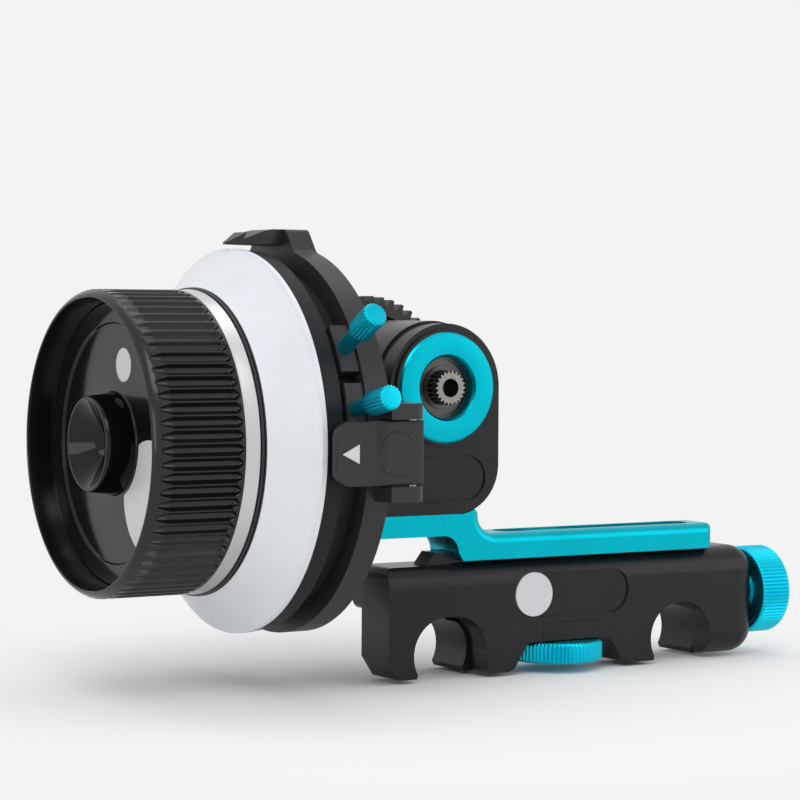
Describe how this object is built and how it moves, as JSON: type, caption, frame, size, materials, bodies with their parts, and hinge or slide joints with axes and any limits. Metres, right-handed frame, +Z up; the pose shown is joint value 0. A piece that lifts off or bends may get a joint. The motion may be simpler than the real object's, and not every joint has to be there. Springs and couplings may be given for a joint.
{
  "type": "follow focus unit",
  "caption": "Follow focus unit for twin camera rods: a ribbed handwheel with a white marking disc turns a lens drive gear through a small gearbox on a sliding arm.",
  "frame": {"origin": "axis of the rod clamp nearest the handwheel, at the middle of the clamp body's depth", "axes": "+X along the clamp, away from the handwheel; +Y along the rods, towards the drive gear; +Z up"},
  "size_m": [0.1642, 0.0894, 0.0911],
  "materials": {
    "black": "satin black anodised",
    "teal": "teal anodised",
    "silver": "bright turned",
    "steel": "plain steel",
    "white": "matt, wipeable",
    "bronze": "sintered bronze"
  },
  "bodies": {
    "clamp": {"clamp_body": "black", "badge_disc": "white", "nut_cover": "black", "jaw_guide_screws": "steel", "lock_stud": "steel"},
    "jaw": {"jaw_slider": "black"},
    "jaw_knob": {"clamp_knob": "teal", "clamp_screw": "steel", "screw_clip": "steel"},
    "arm_lock": {"lock_wheel": "teal"},
    "gearbox": {"focus_arm": "teal", "arm_screws": "steel", "gearbox_housing": "black", "gearbox_cover": "black", "cover_screws": "steel", "front_ring": "teal", "rear_ring": "teal", "front_bearing": "silver", "rear_bearing": "silver", "input_bush": "bronze", "back_plate": "black", "plate_screws": "steel", "top_pointer": "black", "hinge_pin": "steel"},
    "handwheel": {"handwheel_grip": "black", "handwheel_core": "black", "centre_screw": "steel", "silver_ring": "silver", "dark_ring": "black", "marking_disc": "white", "rotor_ring": "black", "wheel_spindle": "silver", "mitre_input": "silver"},
    "idler": {"layshaft": "silver", "mitre_lay": "silver", "lay_spur": "silver"},
    "output": {"output_shaft": "silver", "drive_gear": "black", "gear_screw": "steel", "gear_washer": "steel"},
    "stop_a_block": {"stop_a": "black"},
    "stop_a_thumbscrew": {"stop_a_screw": "teal"},
    "stop_b_block": {"stop_b": "black"},
    "stop_b_thumbscrew": {"stop_b_screw": "teal"},
    "flap": {"pointer_flap": "black", "pointer_mark": "white"}
  },
  "joints": [
    {"name": "jaw_slide", "type": "slide", "parent": "clamp", "child": "jaw", "axis": [-1, 0, 0], "range_m": [0, 0.0018]},
    {"name": "knob_turn", "type": "hinge", "parent": "clamp", "child": "jaw_knob", "pos_m": [0.086, 0.0024, 0.0085], "axis": [-1, 0, 0], "range_deg": [0, 810]},
    {"name": "lock_turn", "type": "hinge", "parent": "clamp", "child": "arm_lock", "pos_m": [0.031, 0, -0.0015], "axis": [0, 0, 1], "range_deg": [-360, 0]},
    {"name": "arm_slide", "type": "slide", "parent": "clamp", "child": "gearbox", "axis": [1, 0, 0], "range_m": [-0.029, 0.01]},
    {"name": "wheel_spin", "type": "hinge", "parent": "gearbox", "child": "handwheel", "pos_m": [-0.065, 0.0076, 0.0441], "axis": [1, 0, 0], "range_deg": [-150, 115]},
    {"name": "idler_spin", "type": "hinge", "parent": "gearbox", "child": "idler", "pos_m": [-0.0005, 0.0076, 0.0441], "axis": [0, 1, 0], "range_deg": [-150, 115]},
    {"name": "drive_spin", "type": "hinge", "parent": "gearbox", "child": "output", "pos_m": [-0.0005, 0.0296, 0.0546], "axis": [0, 1, 0], "range_deg": [-115, 150]},
    {"name": "stop_a_travel", "type": "hinge", "parent": "gearbox", "child": "stop_a_block", "pos_m": [-0.0361, 0.0076, 0.0441], "axis": [1, 0, 0], "range_deg": [-40, 0]},
    {"name": "stop_a_screw_turn", "type": "hinge", "parent": "stop_a_block", "child": "stop_a_thumbscrew", "pos_m": [-0.0361, -0.0331, 0.0676], "axis": [0, -0.866, 0.5], "range_deg": [0, 180]},
    {"name": "stop_b_travel", "type": "hinge", "parent": "gearbox", "child": "stop_b_block", "pos_m": [-0.0361, 0.0076, 0.0441], "axis": [1, 0, 0], "range_deg": [-3, 0]},
    {"name": "stop_b_screw_turn", "type": "hinge", "parent": "stop_b_block", "child": "stop_b_thumbscrew", "pos_m": [-0.0361, -0.03846, 0.05347], "axis": [0, -0.9799, 0.1994], "range_deg": [0, 180]},
    {"name": "flap_hinge", "type": "hinge", "parent": "gearbox", "child": "flap", "pos_m": [-0.0261, -0.0336, 0.0434], "axis": [0, 0, 1], "range_deg": [0, 105]}
  ],
  "couplings": [
    {"joint": "knob_turn", "follows": "jaw_slide", "rad_per_m": 7854},
    {"joint": "idler_spin", "follows": "wheel_spin", "ratio": 1},
    {"joint": "drive_spin", "follows": "wheel_spin", "ratio": -1}
  ]
}
